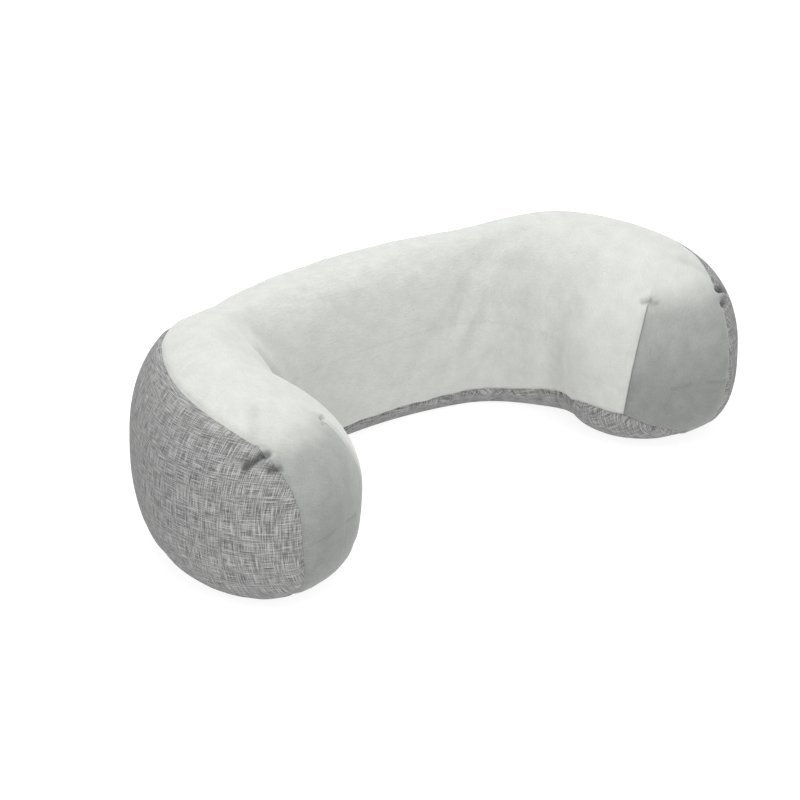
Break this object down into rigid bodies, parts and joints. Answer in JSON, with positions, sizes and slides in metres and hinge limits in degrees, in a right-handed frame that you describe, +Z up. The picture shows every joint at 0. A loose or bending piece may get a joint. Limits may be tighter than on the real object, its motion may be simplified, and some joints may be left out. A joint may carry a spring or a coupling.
{
  "type": "nursing pillow",
  "caption": "C-shaped feeding pillow with a foam core and liner inside a zipped cover of smooth velour and mottled woven fabric.",
  "frame": {"origin": "middle of the pillow's plan, on the surface it rests on", "axes": "+X along the pillow's width from arm to arm, +Y towards the back, away from the arms' open ends, +Z up"},
  "size_m": [0.609, 0.3281, 0.1877],
  "materials": {
    "velour": "short brushed nap",
    "melange": "matt woven, light and dark threads",
    "liner_cloth": "matt plain weave",
    "foam": "open-cell foam",
    "zip_tape": "matt woven tape",
    "zip_coil": "satin",
    "zip_metal": "satin enamel",
    "label_cloth": "smooth satin ribbon"
  },
  "bodies": {
    "pillow": {"cover_top_panel": "velour", "cover_side_panel": "melange", "cover_base_panel": "melange", "liner_top": "liner_cloth", "liner_base": "liner_cloth", "foam_core": "foam", "zip_tape_upper": "zip_tape", "zip_tape_lower": "zip_tape", "zip_coil_upper": "zip_coil", "zip_coil_lower": "zip_coil", "zip_bottom_stop": "zip_metal", "zip_top_stops": "zip_metal", "care_label": "label_cloth"},
    "slider": {"zip_slider": "zip_metal"},
    "pull": {"zip_pull_tab": "zip_metal"}
  },
  "joints": [
    {"name": "zip_travel", "type": "hinge", "parent": "pillow", "child": "slider", "pos_m": [0, -0.29145, 0], "axis": [0, 0, 1], "range_deg": [0, 27], "deforming": ["zip_coil_upper", "zip_coil_lower", "zip_tape_upper", "zip_tape_lower"]},
    {"name": "pull_tab_flip", "type": "hinge", "parent": "slider", "child": "pull", "pos_m": [0.11011, 0.15016, 0.03347], "axis": [-0.0581, -0.233, -0.9707], "range_deg": [0, 170]}
  ]
}
